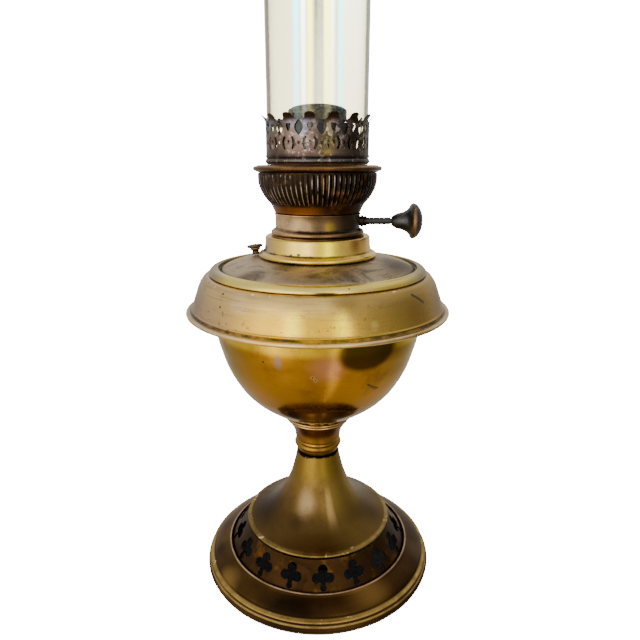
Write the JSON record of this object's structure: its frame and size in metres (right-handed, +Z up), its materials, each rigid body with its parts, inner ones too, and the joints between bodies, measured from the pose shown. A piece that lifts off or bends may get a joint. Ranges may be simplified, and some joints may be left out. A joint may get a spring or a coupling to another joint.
{
  "type": "paraffin table lamp",
  "caption": "Standing brass paraffin lamp: pierced foot, slim stem, bowl with a skirt, drop-in oil font, central draught wick burner, side winder, gallery and glass chimney.",
  "frame": {"origin": "centre of the foot's resting ring, on the surface it stands on", "axes": "+Z up along the lamp's axis, +X towards the wick winder's knob"},
  "size_m": [0.145, 0.145, 0.4794],
  "materials": {
    "foot_brass": "dark patinated, worn bright at the edges",
    "air_ring_brass": "very dark patina",
    "stem_brass": "matte olive gold with brown blotches",
    "bowl_brass": "glossy amber lacquer with olive edges",
    "skirt_brass": "satin tan",
    "dome_brass": "matte grey brown with dark patches",
    "collar_brass": "satin pale gold",
    "neck_brass": "satin pinkish tan",
    "burner_bronze": "burnt dark bronze",
    "rim_brass": "coppery brown gold",
    "gallery_brass": "heat-stained lavender brown",
    "tin": "mottled grey, heat stained",
    "steel": "dull",
    "black_lacquer": "black, rim worn brown",
    "cotton": "woven cotton",
    "cork": "cork",
    "glass": "clear",
    "iron": "rough, almost black"
  },
  "bodies": {
    "stand": {"base_flange": "foot_brass", "foot_weight": "iron", "pierced_ring": "air_ring_brass", "stem_cone": "stem_brass", "stem_collar": "stem_brass", "socket_cup": "stem_brass", "air_tube": "steel", "foot_nut": "steel", "bowl_nut": "steel", "bowl": "bowl_brass", "skirt": "skirt_brass"},
    "font": {"font_body": "skirt_brass", "font_dome": "dome_brass", "font_collar": "collar_brass", "filler_neck": "collar_brass", "draught_tube": "stem_brass"},
    "cap": {"filler_cap": "foot_brass", "cap_washer": "cork"},
    "burner": {"burner_neck": "neck_brass", "basket": "burner_bronze", "basket_rim": "rim_brass", "air_plate": "burner_bronze", "outer_wick_tube": "burner_bronze", "shaft_bush": "burner_bronze"},
    "winder": {"winder_shaft": "black_lacquer", "winder_pinion": "steel", "winder_knob": "black_lacquer"},
    "wick": {"wick": "cotton", "wick_carrier": "steel"},
    "gallery": {"gallery": "gallery_brass"},
    "chimney": {"chimney": "glass"},
    "spreader": {"flame_spreader": "tin"}
  },
  "joints": [
    {"name": "font_lift", "type": "slide", "parent": "stand", "child": "font", "axis": [0, 0, 1], "range_m": [0, 0.09]},
    {"name": "cap_lift", "type": "slide", "parent": "font", "child": "cap", "axis": [-0.1205, 0.018, 0.9925], "range_m": [0, 0.02]},
    {"name": "burner_lift", "type": "slide", "parent": "font", "child": "burner", "axis": [0, 0, 1], "range_m": [0, 0.09]},
    {"name": "winder_turn", "type": "hinge", "parent": "burner", "child": "winder", "pos_m": [0.03, 0, 0.2087], "axis": [1, 0, 0], "range_deg": [-60, 90]},
    {"name": "wick_raise", "type": "slide", "parent": "burner", "child": "wick", "axis": [0, 0, 1], "range_m": [-0.0033, 0.005]},
    {"name": "gallery_lift", "type": "slide", "parent": "burner", "child": "gallery", "axis": [0, 0, 1], "range_m": [0, 0.06]},
    {"name": "chimney_lift", "type": "slide", "parent": "gallery", "child": "chimney", "axis": [0, 0, 1], "range_m": [0, 0.06]},
    {"name": "spreader_lift", "type": "slide", "parent": "font", "child": "spreader", "axis": [0, 0, 1], "range_m": [0, 0.03]}
  ],
  "couplings": [
    {"joint": "winder_turn", "follows": "wick_raise", "rad_per_m": 312.5}
  ]
}
